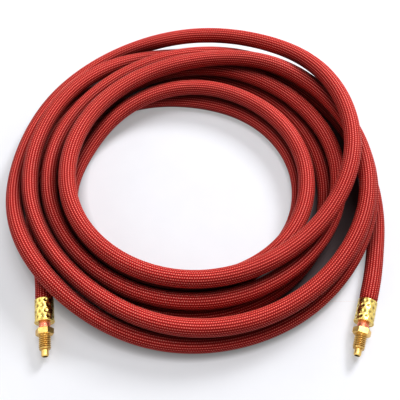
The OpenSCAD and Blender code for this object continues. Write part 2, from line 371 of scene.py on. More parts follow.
@dataclass(frozen=True)
class BrassFinish:
    """Turned brass with fine tool marks, dull patches and darker hollows."""

    name: str
    colour: Colour
    tarnish: Colour
    rough: Pair
    turn_step: float = 0.12 * MM
    turn_depth: float = 0.004 * MM
    hollow: float = 0.5
    # Near black, a painted shade inside a bore.
    bore_shade_colour: Colour = linear(16, 11, 8)
    patch_scale: float = 260.0
    grain_scale: float = 1400.0
    grain_depth: float = 0.01 * MM

    def build(self) -> Material:
        """Returns the material."""
        g = Graph(self.name)
        along, around = g.along_and_around()
        spot = g.place()
        lane = g.node("CombineXYZ")
        g.feed(lane.inputs[0], g.math("DIVIDE", along, self.turn_step))
        g.feed(lane.inputs[1], g.math("MULTIPLY", around, 3.0))
        turns = g.noise(lane.outputs[0], 1.0, 2.0)
        patch = g.noise(spot, self.patch_scale, 3.0)
        grime = g.worn("hollow")
        colour = g.blend(g.span(patch, (0.45, 0.75), (0.0, 0.5)), self.colour,
                         self.tarnish)
        colour = g.blend(g.math("MULTIPLY", grime, self.hollow), colour, self.tarnish)
        # Painted shade: the bore is darkened nearly to black.
        colour = g.blend(g.worn("painted_bore_shade"), colour, self.bore_shade_colour)
        rough = g.math("ADD", g.span(patch, (0.3, 0.7), self.rough),
                       g.span(turns, (0.3, 0.8), (0.0, 0.08)))
        normal = g.raised(turns, self.turn_depth, 0.6)
        normal = g.raised(g.noise(spot, self.grain_scale, 2.0), self.grain_depth, 0.25,
                          normal)
        return g.surface({"Base Color": colour, "Roughness": rough,
                          "Normal": normal, "Metallic": 1.0})


@dataclass(frozen=True)
class RubberFinish:
    """Matt black rubber with a fine grain."""

    name: str = "liner_rubber"
    body: Colour = linear(34, 33, 34)
    bloom: Colour = linear(66, 64, 64)
    grain_scale: float = 1200.0
    bloom_scale: float = 60.0
    grain_depth: float = 0.03 * MM
    specular: float = 0.4

    def build(self) -> Material:
        """Returns the material."""
        g = Graph(self.name)
        spot = g.place()
        grain = g.noise(spot, self.grain_scale, 3.0)
        bloom = g.noise(spot, self.bloom_scale, 2.0)
        colour = g.blend(g.span(bloom, (0.4, 0.8), (0.0, 0.6)), self.body, self.bloom)
        rough = g.span(grain, (0.3, 0.7), (0.55, 0.8))
        normal = g.raised(grain, self.grain_depth, 0.5)
        return g.surface({"Base Color": colour, "Roughness": rough,
                          "Normal": normal, "Specular IOR Level": self.specular})


def seen_ray(g: Graph) -> Socket:
    """Adds the test for a ray that shows a backdrop.

    Args:
        g: the graph it goes in.

    Returns:
        1 for a camera, glossy or transmission ray, otherwise 0.
    """
    path = g.node("LightPath")
    seen = g.math("MAXIMUM", path.outputs["Is Camera Ray"],
                  path.outputs["Is Glossy Ray"])
    return g.math("MAXIMUM", seen, path.outputs["Is Transmission Ray"])


@dataclass(frozen=True)
class FloorFinish:
    """Pale matt paper that keeps the cable's shadow, and a painted one under the coil.
    """

    name: str = "pale_floor"
    tone: Colour = linear(198, 199, 205)
    cloud: Colour = linear(190, 191, 198)
    # The painted shadow's colour, in a ring under the coil.
    shade: Colour = linear(90, 78, 80)
    lift: float = 0.30
    near: Pair = (0.17, 0.26)
    near_lift: float = 0.13
    far: Pair = (0.35, 1.60)
    far_lift: float = 0.50
    # The ring of painted shadow: its middle, and where it fades in and out.
    middle: Pair = (-4.0 * MM, 0.0 * MM)
    inner: Pair = (95.0 * MM, 115.0 * MM)
    outer: Pair = (155.0 * MM, 169.0 * MM)

    def build(self) -> Material:
        """Returns the material: matt paper with a painted shadow where the coil lies
        on it, and lighter away from it for a ray that is the camera's or a mirror's."""
        g = Graph(self.name)
        spot = g.place()
        away = g.node("VectorMath", operation="DISTANCE")
        g.feed(away.inputs[0], spot)
        g.feed(away.inputs[1], (*self.middle, 0.0))
        far = away.outputs["Value"]
        # Painted shadow: 0 in the ring under the coil, 1 away from it.
        clear = g.math("MAXIMUM", g.span(far, self.inner, (1.0, 0.0)),
                       g.span(far, self.outer, (0.0, 1.0)))
        paper = g.node("BsdfDiffuse")
        speck = g.noise(spot, 40.0, 2.0)
        tone = g.blend(g.span(speck, (0.3, 0.7), (0.0, 0.3)), self.tone, self.cloud)
        g.feed(paper.inputs["Color"], g.blend(clear, self.shade, tone))
        close = (self.lift, self.lift + self.near_lift)
        lift = g.math("ADD", g.span(far, self.near, close),
                      g.span(far, self.far, (0.0, self.far_lift)))
        glow = g.node("Emission")
        glow.inputs["Color"].default_value = (1.0, 1.0, 1.0, 1.0)
        # No glow in the ring, so the painted shadow stays dark.
        g.feed(glow.inputs["Strength"],
               g.math("MULTIPLY", g.math("MULTIPLY", seen_ray(g), clear), lift))
        both = g.node("AddShader")
        g.feed(both.inputs[0], paper.outputs[0])
        g.feed(both.inputs[1], glow.outputs[0])
        out = g.node("OutputMaterial")
        g.feed(out.inputs["Surface"], both.outputs[0])
        return g.owner


# ---- Meshes ----


def unit(v: Array) -> Array:
    """Scales vectors to length 1.

    Args:
        v: one vector, or rows of them.

    Returns:
        The same vectors at length 1.
    """
    return v / np.linalg.norm(v, axis=-1, keepdims=True)


def grid_mesh(name: str, points: Array, along: Array, strips: int = 0) -> Piece:
    """Makes a closed mesh from rows of points that each go once round a piece. The
    last row joins the first.

    Args:
        name: the piece's name.
        points: rows by columns by 3, in metres.
        along: the length along the piece at each row, with one more for the row that
            closes it.
        strips: how many strips the bake's map is laid out in, or 0 for no such map.

    Returns:
        The new object, in the scene.
    """
    size = rows, columns = points.shape[:2]
    i = np.arange(rows)[:, None]
    j = np.arange(columns)[None, :]
    nxt, right = (i + 1) % rows, (j + 1) % columns
    quads = np.stack([i * columns + j, i * columns + right,
                      nxt * columns + right, nxt * columns + j], -1)
    mesh = bpy.data.meshes.new(name)
    mesh.from_pydata(points.reshape(-1, 3).tolist(), [], quads.reshape(-1, 4).tolist())
    u0 = np.broadcast_to(along[i], size)
    u1 = np.broadcast_to(along[i + 1], size)
    v0 = np.broadcast_to(j / columns, size)
    v1 = v0 + 1 / columns
    uv = np.stack([u0, v0, u0, v1, u1, v1, u1, v0], -1)
    layer = mesh.uv_layers.new(name=LAY_MAP)
    layer.uv.foreach_set("vector", uv.astype(np.float32).ravel())
    if strips:
        per = math.ceil(rows / strips)
        strip = np.broadcast_to(i // per, size)
        a = np.broadcast_to((i % per) / per, size)
        b = a + 1 / per
        used = 1 - 2 * MAP_MARGIN
        low = (strip + MAP_MARGIN + used * v0) / strips
        high = (strip + MAP_MARGIN + used * v1) / strips
        flat = np.stack([a, low, a, high, b, high, b, low], -1)
        bake = mesh.uv_layers.new(name=BAKE_MAP)
        bake.uv.foreach_set("vector", flat.astype(np.float32).ravel())
    mesh.polygons.foreach_set("use_smooth", np.ones(len(mesh.polygons), bool))
    mesh.update()
    piece = bpy.data.objects.new(name, mesh)
    bpy.context.scene.collection.objects.link(piece)
    return piece


def store(piece: Piece, name: str, values: Array) -> None:
    """Stores a number on each point of a piece.

    Args:
        piece: the piece.
        name: the attribute's name.
        values: one number per point.
    """
    attribute = piece.data.attributes.new(name, "FLOAT", "POINT")
    attribute.data.foreach_set("value", values.astype(np.float32).ravel())


# ---- The hose's route ----


@dataclass(frozen=True)
class HoseRoute:
    """Where the hose lies, from the right ferrule through the coil to the left one."""

    hose_d: float = 14.5 * MM
    coil_r: float = 163.0 * MM
    lay_gap: float = 0.6 * MM
    axis_z: float = 8.15 * MM
    centre: Pair = (-2.3 * MM, 8.6 * MM)
    drawn_in: Pair = (3.95, 4.45)
    drawn_off: Pair = (-0.55, -1.25)
    turns: float = 7.5
    rings_per_turn: int = 24
    ease: float = 0.08
    fine_step: float = 0.25 * MM
    left_end: Pair = (7.630, -0.30)
    left_heading: float = -82.0
    right_end: Pair = (-0.123, -0.54)
    right_heading: float = -108.0

    # Each row is a place along the coil in turns, a share of the way in from the
    # widest loop to the narrowest, and a layer.
    LIE = (
        # From the right tail along the floor, then lifted over both tails
        (0.00, 0.05, 0), (0.05, 0.13, 0), (0.10, 0.21, 0), (0.18, 0.25, 0),
        (0.27, 0.28, 0), (0.34, 0.30, 0.9), (0.40, 0.29, 1.1), (0.46, 0.37, 1.1),
        (0.52, 0.35, 1.1), (0.62, 0.37, 1.15), (0.68, 0.28, 1.25), (0.74, 0.12, 1.1),
        (0.86, 0.08, 1.1), (0.93, 0.08, 2),
        # Thrown over the rest, from the outside to the inside and out again
        (1.00, 0.19, 2.05), (1.08, 0.31, 1.95), (1.15, 0.41, 2.1), (1.20, 0.55, 2.05),
        (1.25, 0.69, 2), (1.35, 0.88, 2.05), (1.43, 1.02, 2.15), (1.50, 1.08, 2.1),
        (1.60, 1.05, 2), (1.70, 0.93, 2), (1.77, 0.84, 2), (1.85, 0.76, 2),
        (1.92, 0.60, 2.1), (1.98, 0.40, 3),
        # Down over the outside to the floor, then lifted over the left tail
        (2.04, 0.31, 3.15), (2.10, 0.22, 3), (2.18, 0.18, 1.9), (2.26, 0.13, 1.1),
        (2.34, 0.08, 0.2), (2.40, 0.05, 0), (2.50, 0.10, 0.2), (2.55, 0.03, 1.15),
        (2.58, -0.02, 1.45), (2.65, -0.01, 1.2), (2.70, -0.05, 0.2), (2.78, -0.03, 0),
        (2.88, -0.02, 0), (2.93, 0.01, 1),
        # The middle layer, from the outside in
        (3.00, 0.10, 1.1), (3.08, 0.20, 1), (3.15, 0.28, 1), (3.25, 0.40, 1),
        (3.35, 0.57, 1), (3.42, 0.63, 0.95), (3.50, 0.69, 1.05), (3.62, 0.70, 0.95),
        (3.75, 0.60, 1), (3.85, 0.53, 1.05), (4.00, 0.47, 0.95), (4.12, 0.55, 1.05),
        (4.25, 0.60, 1), (4.35, 0.78, 1.1), (4.43, 0.91, 1.2), (4.50, 1.02, 1.05),
        (4.62, 1.06, 1), (4.75, 0.93, 1), (4.87, 0.90, 1),
        # Down to the floor at the inside
        (5.00, 0.91, 1), (5.12, 0.89, 1), (5.25, 0.89, 1.05), (5.35, 1.01, 0.9),
        (5.43, 1.08, 0.15), (5.52, 0.99, 0), (5.60, 0.97, 0), (5.75, 0.92, 0),
        # The lowest layer, out again to the left tail
        (6.00, 0.97, 0), (6.25, 0.95, 0), (6.35, 0.82, 0), (6.50, 0.67, 0),
        (6.62, 0.57, 0), (6.75, 0.44, 0), (6.87, 0.50, 0), (7.00, 0.64, 0.05),
        (7.25, 0.59, 0), (7.40, 0.35, 0), (7.50, 0.37, 0),
    )
    LEFT_LIE = ((7.530, 0.33), (7.555, 0.29), (7.582, 0.21), (7.606, 0.04))
    RIGHT_LIE = ((-0.034, -0.05), (-0.056, -0.13), (-0.079, -0.23), (-0.100, -0.36))

    @property
    def pitch(self) -> float:
        """From one strand's centre to the next one's."""
        return self.hose_d + self.lay_gap

    def spot(self, turn: Array, share: Array, height: Array) -> Array:
        """Points of the lie.

        Args:
            turn: places along the coil, in turns.
            share: shares of the way in.
            height: heights over the floor.

        Returns:
            One row of X, Y and Z for each place.
        """
        out = np.stack([np.cos(TURN * turn), np.sin(TURN * turn)], -1)
        narrow_r = self.coil_r - np.array(self.drawn_in) * self.pitch
        narrow = np.array(self.drawn_off) * self.pitch + narrow_r * out
        share = np.asarray(share, float)[..., None]
        flat = np.array(self.centre) + (1 - share) * self.coil_r * out + share * narrow
        return np.concatenate([flat, np.asarray(height, float)[..., None]], -1)

    def eased(self, turn: Array, column: int) -> Array:
        """A column of LIE, averaged so that its bends are round.

        Args:
            turn: places along the coil, in turns.
            column: 1 for the share, 2 for the layer.

        Returns:
            The column's value at each place.
        """
        table = np.array(self.LIE, float)
        offs = (-self.ease / 2, -self.ease / 4, 0.0, self.ease / 4, self.ease / 2)
        return np.mean([np.interp(turn + d, table[:, 0], table[:, column])
                        for d in offs], axis=0)

    @staticmethod
    def heading(angle: float) -> Array:
        """The level unit vector at an angle in degrees."""
        turn = math.radians(angle)
        return np.array([math.cos(turn), math.sin(turn), 0])

    def end_of(self, end: End) -> tuple[Array, Array]:
        """Where a ferrule starts.

        Args:
            end: which end.

        Returns:
            The middle of the ferrule's back, and the way its fitting points.
        """
        place, angle = ((self.left_end, self.left_heading) if end is End.LEFT
                        else (self.right_end, self.right_heading))
        return self.spot(place[0], place[1], self.axis_z), self.heading(angle)

    def tail(self, end: End) -> Array:
        """The points of a tail, from the coil to the back of its ferrule."""
        lie = np.array(self.LEFT_LIE if end is End.LEFT else self.RIGHT_LIE)
        back, way = self.end_of(end)
        floor = np.full(len(lie), self.hose_d / 2)
        return np.vstack([self.spot(lie[:, 0], lie[:, 1], floor),
                          back - way * self.hose_d, back])

    def knots(self) -> Array:
        """The points that the hose is laid through, right end first."""
        count = int(self.turns * self.rings_per_turn)
        turn = np.arange(count + 1) / self.rings_per_turn
        height = self.hose_d / 2 + self.pitch * self.eased(turn, 2)
        loops = self.spot(turn, self.eased(turn, 1), height)
        flat = np.array([1.0, 1.0, 0.0])
        first = loops[0] + unit((loops[0] - loops[1]) * flat) * self.hose_d
        last = loops[-1] + unit((loops[-1] - loops[-2]) * flat) * self.hose_d
        return np.vstack([self.tail(End.RIGHT)[::-1], first, loops, last,
                          self.tail(End.LEFT)])

    def centres(self, step: float) -> Array:
        """The hose's centre line as one smooth curve.

        Args:
            step: the length between its points.

        Returns:
            Points at even lengths along the curve.
        """
        knots = self.knots()
        start = -self.end_of(End.RIGHT)[1]
        stop = self.end_of(End.LEFT)[1]
        gaps = np.linalg.norm(np.diff(knots, axis=0), axis=1)
        at = np.concatenate([[0.0], np.cumsum(gaps)])
        n = len(knots)
        matrix, wanted = np.zeros((n, n)), np.zeros((n, 3))
        matrix[0, 0] = matrix[-1, -1] = 1.0
        wanted[0], wanted[-1] = start, stop
        for k in range(1, n - 1):
            a, b = gaps[k - 1], gaps[k]
            matrix[k, k - 1:k + 2] = b, 2 * (a + b), a
            wanted[k] = 3 * (b * (knots[k] - knots[k - 1]) / a
                             + a * (knots[k + 1] - knots[k]) / b)
        slope = np.linalg.solve(matrix, wanted)
        fine = np.linspace(0.0, at[-1], int(at[-1] / self.fine_step))
        k = np.clip(np.searchsorted(at, fine, side="right") - 1, 0, n - 2)
        h = gaps[k][:, None]
        t = (fine - at[k])[:, None] / h
        curve = ((2 * t**3 - 3 * t**2 + 1) * knots[k]
                 + (t**3 - 2 * t**2 + t) * h * slope[k]
                 + (-2 * t**3 + 3 * t**2) * knots[k + 1]
                 + (t**3 - t**2) * h * slope[k + 1])
        curve[:, 2] = np.maximum(curve[:, 2], self.hose_d / 2)
        run = np.concatenate([[0.0], np.cumsum(
            np.linalg.norm(np.diff(curve, axis=0), axis=1))])
        even = np.linspace(0.0, run[-1], round(run[-1] / step) + 1)
        return np.stack([np.interp(even, run, curve[:, c]) for c in range(3)], 1)


def carried_frames(path: Array) -> tuple[Array, Array]:
    """Frames along a path that don't twist.

    Args:
        path: the path's points.

    Returns:
        Two unit vectors across the path at each point.
    """
    along = unit(np.gradient(path, axis=0))
    ups = np.zeros_like(path)
    up = np.array([0.0, 0.0, 1.0])
    for k, way in enumerate(along):
        up = up - way * (up @ way)
        up = up / np.linalg.norm(up)
        ups[k] = up
    return np.cross(along, ups), ups


def rings(path: Array, radius: Array, angle: Array) -> Array:
    """Rings of points square to a path.

    Args:
        path: the rings' centres.
        radius: rows by columns, the radius of each point.
        angle: the angle of each column.

    Returns:
        Rows by columns by 3.
    """
    side, up = carried_frames(path)
    round_it = (np.cos(angle)[None, :, None] * side[:, None, :]
                + np.sin(angle)[None, :, None] * up[:, None, :])
    return path[:, None, :] + radius[:, :, None] * round_it


# ---- The cable ----


@dataclass
class BraidedHose:
    """The hose, one length from ferrule to ferrule, and the conductor in its bore."""

    route: HoseRoute
    ribs: int = 20
    step: float = 3.1 * MM
    bore: float = 9.0 * MM
    bore_skip: int = 8
    rib_rise: float = 0.10 * MM
    rib_sink: float = 0.38 * MM
    sways: tuple[Triple, ...] = ((0.05 * MM, 43.0 * MM, 0.0),
                                 (0.04 * MM, 19.0 * MM, 1.3))
    squeezed: float = 0.30 * MM
    squeeze_len: float = 5.0 * MM
    # How far the painted contact shade reaches, and how dark it gets.
    contact_shade_reach: float = 9.0 * MM
    contact_shade_most: float = 0.97
    conductor_d: float = 5.4 * MM
    strands: int = 8
    strand_turn: float = 60.0 * MM
    strand_depth: float = 0.12
    tip_share: float = 0.02
    map_strips: int = 13

    def build_hose(self) -> tuple[Piece, Array]:
        """Builds the hose's wall.

        Returns:
            The piece, and the points that its centre follows.
        """
        path = self.route.centres(self.step)
        columns = 2 * self.ribs
        angle = TURN * np.arange(columns) / columns
        crest = np.arange(columns) % 2
        along = np.linspace(0.0, self.length(path), len(path))
        radius = self.route.hose_d / 2 + np.where(crest, self.rib_rise, -self.rib_sink)
        radius = np.repeat(radius[None, :], len(path), axis=0)
        sway = sum(rise * np.sin(along / wave + start)
                   for rise, wave, start in self.sways)
        to_end = np.minimum(along, along[-1] - along)
        squeeze = self.squeezed * np.clip(1 - to_end / self.squeeze_len, 0, 1) ** 2
        radius += (sway - squeeze)[:, None]
        inner_at = np.unique(np.append(np.arange(0, len(path), self.bore_skip),
                                       len(path) - 1))[::-1]
        outer = rings(path, radius, angle)
        inside = np.full((len(path), columns), self.bore / 2)
        inner = rings(path, inside, angle)[inner_at]
        run = np.concatenate([along, along[inner_at], [0.0]])
        piece = grid_mesh("braided_hose", np.vstack([outer, inner]), run,
                          self.map_strips)
        # Painted shade where the hose touches itself or the floor.
        contact_shade = self.contact_shade_mask(path, outer)
        store(piece, "contact_shade", np.append(contact_shade, np.zeros(inner.shape[:2])))
        piece.data.materials.append(BraidFinish(self.ribs).build())
        return piece, path

    def contact_shade_mask(self, path: Array, outer: Array) -> Array:
        """Finds how much painted shade darkens the cover where two lengths of
        the hose touch and where it rests on what it lies on.

        Args:
            path: the points that the hose's centre follows.
            outer: the wall's rings of points.

        Returns:
            One number from 0 to 1 for each point.
        """
        own = int(3 * self.route.hose_d / self.step)
        gaps = outer[..., 2].copy()
        index = np.arange(len(path))
        for k, ring in enumerate(outer):
            off = np.linalg.norm(path - path[k], axis=1)
            other = path[(off < 2 * self.route.hose_d) & (np.abs(index - k) > own)]
            if len(other):
                apart = np.linalg.norm(ring[:, None] - other[None], axis=-1)
                gaps[k] = np.minimum(gaps[k], apart.min(1) - self.route.hose_d / 2)
        return self.contact_shade_most * np.clip(1 - gaps / self.contact_shade_reach, 0, 1)

    def build_conductor(self) -> Piece:
        """Builds the stranded copper conductor.

        Returns:
            The piece.
        """
        path = self.route.centres(2 * self.step)
        columns = 3 * self.strands
        angle = TURN * np.arange(columns) / columns
        along = np.linspace(0.0, self.length(path), len(path))
        turn = TURN * along / self.strand_turn
        lobes = np.abs(np.sin(self.strands / 2 * (angle[None, :] + turn[:, None])))
        radius = self.conductor_d / 2 * (1 - self.strand_depth * (1 - lobes))
        solid = rings(path, radius, angle)
        tips = np.repeat(path[[-1, 0]][:, None, :], columns, axis=1)
        tips += (solid[[-1, 0]] - tips) * self.tip_share
        run = np.concatenate([along, [along[-1], 0.0, 0.0]])
        piece = grid_mesh("copper_conductor", np.vstack([solid, tips]), run)
        store(piece, "hollow", np.append(1 - lobes, np.zeros(2 * columns)))
        return piece

    @staticmethod
    def length(path: Array) -> float:
        """The length of a path of points."""
        return float(np.linalg.norm(np.diff(path, axis=0), axis=1).sum())


Shape = Callable[[Array, Array, Array], Array]


@dataclass
class EndSet:
    """A ferrule and a fitting, turned about one axis, on an end of the hose."""

    end: End
    back: Array
    way: Array
    ferrule_len: float = 19.5 * MM
    ferrule_r: float = 7.65 * MM
    ferrule_bore_r: float = 6.95 * MM
    rim_r: float = 8.15 * MM
    rim_len: float = 1.3 * MM
    mark_rows: int = 4
    mark_count: int = 10
    mark_depth: float = 0.42 * MM
    mark_share: float = 0.42
    lip_rise: float = 0.10 * MM
    lip_at: float = 1.15
    lip_width: float = 0.22
    shell_edge: float = 0.25 * MM
    front_r: Pair = (6.5 * MM, 4.6 * MM)
    neck_r: float = 4.25 * MM
    neck_len: float = 5.0 * MM
    neck_rings: int = 3
    collar_r: float = 5.7 * MM
    collar_len: float = 2.0 * MM
    shank_inset: float = 1.2 * MM
    barb_r: float = 4.7 * MM
    barb_height: float = 0.6 * MM
    barb_count: int = 4
    hex_apothem: float = 6.35 * MM
    hex_len: float = 5.2 * MM
    chamfer: float = 0.6 * MM
    relief_len: float = 0.8 * MM
    relief_depth: float = 0.6 * MM
    thread_r: float = 4.7625 * MM
    thread_len: float = 11.0 * MM
    thread_pitch: float = 25.4 / 16 * MM
    thread_share: float = 0.58
    thread_slope: float = 1.15
    thread_flat: float = 0.07
    thread_start: float = 0.35
    lead_share: float = 0.55
    hex_slope: float = 2.2
    nose_r: float = 2.9 * MM
    nose_len: float = 4.9 * MM
    bore_r: float = 1.6 * MM
    mouth_r: float = 2.1 * MM
    mouth_len: float = 0.9 * MM
    nose_round: float = 1.3 * MM
    socket_r: float = 2.75 * MM
    socket_len: float = 9.0 * MM
    chamber_len: float = 1.5 * MM
    seat_gap: float = 0.05 * MM
    neck_band: Pair = (3.5 * MM, 5.5 * MM)
    sharp_angle: float = 38.0
    columns: int = 144

    @property
    def rim_x(self) -> float:
        """Where the rim starts, along the axis."""
        return self.ferrule_len - self.rim_len

    @property
    def hex_x(self) -> float:
        """Where the hexagon starts."""
        return self.ferrule_len + self.neck_len

    @property
    def hex_end(self) -> float:
        """Where the hexagon ends."""
        return self.hex_x + self.hex_len

    @property
    def thread_x(self) -> float:
        """Where the thread starts."""
        return self.hex_end + self.relief_len

    @property
    def thread_end(self) -> float:
        """Where the thread ends."""
        return self.thread_x + self.thread_len

    @property
    def thread_depth(self) -> float:
        """How deep the thread is cut."""
        return self.thread_share * self.thread_pitch

    @property
    def nose_x(self) -> float:
        """Where the nose starts."""
        return self.thread_end + self.relief_len

    def turned(self, name: str, profile: Sequence[Pair],
               shape: Shape | None = None) -> tuple[Piece, Array]:
        """Turns a closed profile about the axis.

        Args:
            name: the piece's name.
            profile: places along the axis and radii, going once round the section.
            shape: gives each point's radius from its place, radius and angle.

        Returns:
            The piece, and how far each point was moved.
        """
        section = np.array(profile)
        angle = TURN * np.arange(self.columns) / self.columns
        x = np.repeat(section[:, :1], self.columns, axis=1)
        r = np.repeat(section[:, 1:], self.columns, axis=1)
        moved = r if shape is None else shape(x, r, np.broadcast_to(angle, r.shape))
        side = unit(np.cross(self.way, [0.0, 0.0, 1.0]))
        up = np.cross(side, self.way)
        points = (self.back + x[..., None] * self.way
                  + moved[..., None] * (np.cos(angle)[None, :, None] * side
                                        + np.sin(angle)[None, :, None] * up))
        run = np.concatenate([section[:, 0], section[:1, 0]])
        piece = grid_mesh(f"{name}_{self.end.value}", points, run)
        piece.data.set_sharp_from_angle(angle=math.radians(self.sharp_angle))
        return piece, r - moved

    def build_ferrule(self) -> Piece:
        """Builds the crimped shell, its staggered marks and its rolled rim.

        Returns:
            The piece.
        """
        edge = self.shell_edge
        body = [(0.0, self.ferrule_r - edge), (edge / 2, self.ferrule_r - edge / 4)]
        body += [(x, self.ferrule_r)
                 for x in np.linspace(edge, self.rim_x - 0.35 * MM, 74)]
        half = self.rim_len / 2
        rim = [(self.rim_x + half + half * math.cos(a),
                self.rim_r - half + half * math.sin(a))
               for a in np.linspace(math.pi, -0.35 * math.pi, 18)]
        front_x = self.ferrule_len - 0.12 * MM
        front = [(front_x, r) for r in np.linspace(*self.front_r, 5)]
        hole_r = self.neck_r + self.seat_gap
        inside = [(front_x - 0.1 * MM, hole_r), (self.rim_x, hole_r),
                  (self.rim_x, self.ferrule_bore_r), (0.0, self.ferrule_bore_r)]
        piece, moved = self.turned("crimped_ferrule", body + rim + front + inside,
                                   self.crimp_marks)
        store(piece, "hollow", np.clip(moved / self.mark_depth, 0, 1))
        return piece

    def crimp_marks(self, x: Array, r: Array, angle: Array) -> Array:
        """Sinks staggered round marks into the ferrule's outside.

        Args:
            x: places along the axis.
            r: radii of the plain section.
            angle: angles about the axis.

        Returns:
            The radii with the marks in them.
        """
        step = self.rim_x / self.mark_rows
        row = np.floor(x / step)
        off = (x / step - row - 0.5) * step
        turn = angle / TURN * self.mark_count + row / 2
        around = (turn - np.round(turn)) * (TURN * self.ferrule_r / self.mark_count)
        near = np.sqrt(off**2 + around**2) / (self.mark_share * step)
        sunk = np.where(near < 1, (1 - near**2) ** 2, 0.0) * self.mark_depth
        proud = self.lip_rise * np.exp(-((near - self.lip_at) / self.lip_width) ** 2)
        on_body = (r > self.ferrule_r - 0.05 * MM) & (r < self.ferrule_r + 1e-6)
        on_body &= x < self.rim_x - 0.2 * MM
        return r - np.where(on_body, sunk - proud, 0.0)

    def fitting_profile(self) -> list[Pair]:
        """The fitting's section: barbed shank, collar, neck, hexagon, thread, nose,
        and then its bore.

        Returns:
            Places along the axis and radii.
        """
        collar_x = self.rim_x - self.seat_gap - self.collar_len
        barb = (collar_x - self.shank_inset) / self.barb_count
        root = self.barb_r - self.barb_height
        out: list[Pair] = []
        for k in range(self.barb_count):
            x = self.shank_inset + k * barb
            out += [(x, root), (x + barb * 0.96, self.barb_r), (x + barb, self.barb_r)]
        out += [(collar_x, self.collar_r), (collar_x + self.collar_len, self.collar_r),
                (collar_x + self.collar_len, self.neck_r)]
        out += [(x, self.neck_r) for x in
                np.linspace(self.ferrule_len - 0.5 * MM, self.hex_x - 0.02 * MM, 56)]
        blank = self.hex_apothem / math.cos(math.pi / 6) + 1.0 * MM
        face_r = self.hex_apothem - self.chamfer / 2
        out += [(self.hex_x, self.neck_r + 0.1 * MM),
                (self.hex_x, face_r)]
        out += [(self.hex_x + f * self.chamfer, blank)
                for f in np.linspace(0.02, 1.0, 7)]
        inset = 1.2 * self.chamfer
        out += [(x, blank)
                for x in np.linspace(self.hex_x + inset, self.hex_end - inset, 6)]
        out += [(self.hex_end - f * self.chamfer, blank)
                for f in np.linspace(1.0, 0.02, 7)]
        relief_r = self.thread_r - self.relief_depth
        out += [(self.hex_end, face_r), (self.hex_end, relief_r),
                (self.thread_x - 0.1 * MM, relief_r)]
        out += [(x, self.thread_r)
                for x in np.linspace(self.thread_x, self.thread_end, 108)]
        groove_r = self.nose_r - self.relief_depth / 2
        out += [(self.thread_end + 0.05 * MM, groove_r),
                (self.nose_x - 0.05 * MM, groove_r), (self.nose_x, self.nose_r)]
        tip_x = self.nose_x + self.nose_len
        round_x = tip_x - self.nose_round
        out += [(x, self.nose_r)
                for x in np.linspace(self.nose_x + 0.3 * MM, round_x - 0.1 * MM, 5)]
        out += [(round_x + self.nose_round * math.sin(a),
                 self.nose_r - (self.nose_r - self.mouth_r) * (1 - math.cos(a)))
                for a in np.linspace(0, math.pi / 2, 14)]
        out += [(tip_x - 0.1 * MM, self.mouth_r - 0.08 * MM),
                (tip_x - self.mouth_len, self.bore_r)]
        socket_end = self.shank_inset + self.socket_len + self.chamber_len
        out += [(x, self.bore_r) for x in np.linspace(tip_x - 1 * MM, socket_end, 12)]
        out += [(socket_end, self.socket_r), (self.shank_inset, self.socket_r)]
        return out

    def cut(self, x: Array, r: Array, angle: Array) -> Array:
        """Cuts the hexagon, the thread and the neck's rings.

        Args:
            x: places along the axis.
            r: radii of the plain section.
            angle: angles about the axis.

        Returns:
            The finished radii.
        """
        r = r.copy()
        # The hexagon, with a flat on top and its corners chamfered
        turn = np.mod(angle - np.pi / 2 + np.pi / 6, np.pi / 3) - np.pi / 6
        flats = self.hex_apothem / np.cos(turn)
        from_end = np.minimum(x - self.hex_x, self.hex_end - x)
        cone = self.hex_apothem - self.chamfer / 2 + from_end * self.hex_slope
        hexed = r > self.hex_apothem * 1.1
        r = np.where(hexed, np.minimum(flats, np.maximum(cone, self.neck_r)), r)
        # The thread: a rounded V that runs out at both ends
        threaded = (x >= self.thread_x) & (x <= self.thread_end)
        threaded &= np.isclose(r, self.thread_r)
        phase = np.mod((x - self.thread_x) / self.thread_pitch + angle / TURN, 1)
        wave = np.abs(phase - 0.5) * 2 * self.thread_slope - self.thread_flat
        wave = np.clip(wave, 0, 1)
        depth = self.thread_depth
        to_end = np.minimum(x - self.thread_x, self.thread_end - x)
        ease = np.clip(to_end / self.thread_pitch, 0, 1)
        lead = np.where(threaded, (1 - ease) * self.lead_share * depth, 0.0)
        grown = self.thread_start + (1 - self.thread_start) * ease
        sunk = np.maximum(depth * wave * grown, lead)
        r = r - np.where(threaded, sunk, 0.0)
        # The rings turned on the neck
        ring_step = self.neck_len / (self.neck_rings + 0.5)
        ring_r = ring_step * 0.3
        for k in range(self.neck_rings):
            middle = self.ferrule_len + (k + 0.75) * ring_step
            off = np.abs(x - middle)
            rise = np.sqrt(np.maximum(ring_r**2 - off**2, 0.0))
            r = r + np.where(np.isclose(r, self.neck_r), rise, 0.0)
        return r

    def build_fitting(self) -> Piece:
        """Builds the fitting, one turned piece.

        Returns:
            The piece.
        """
        profile = self.fitting_profile()
        piece, moved = self.turned("turned_fitting", profile, self.cut)
        x = np.array(profile)[:, :1]
        in_thread = (x >= self.thread_x) & (x <= self.thread_end)
        hollow = np.where(in_thread, moved / self.thread_depth, 0.0)
        store(piece, "hollow", np.clip(hollow, 0, 1))
        # Painted shade inside the fitting's bore.
        inside = np.array(profile)[:, 1:] <= self.mouth_r - 0.05 * MM
        inside &= x > self.shank_inset
        store(piece, "painted_bore_shade", np.broadcast_to(inside.astype(float), moved.shape))
        return piece

    def tint_neck_with_painted_reflection(self, piece: Piece, index: int) -> None:
        """Gives the neck's faces another material, a painted reddish reflection.

        Args:
            piece: the fitting.
            index: the material's place in its list.
        """
        low, high = self.ferrule_len - 1.0 * MM, self.hex_x + 0.01 * MM
        inner, outer = self.neck_band
        for face in piece.data.polygons:
            place = np.array(face.center) - self.back
            x = place @ self.way
            off = place - x * self.way
            if low < x < high and inner < np.linalg.norm(off) < outer:
                face.material_index = index


# ---- The studio ----


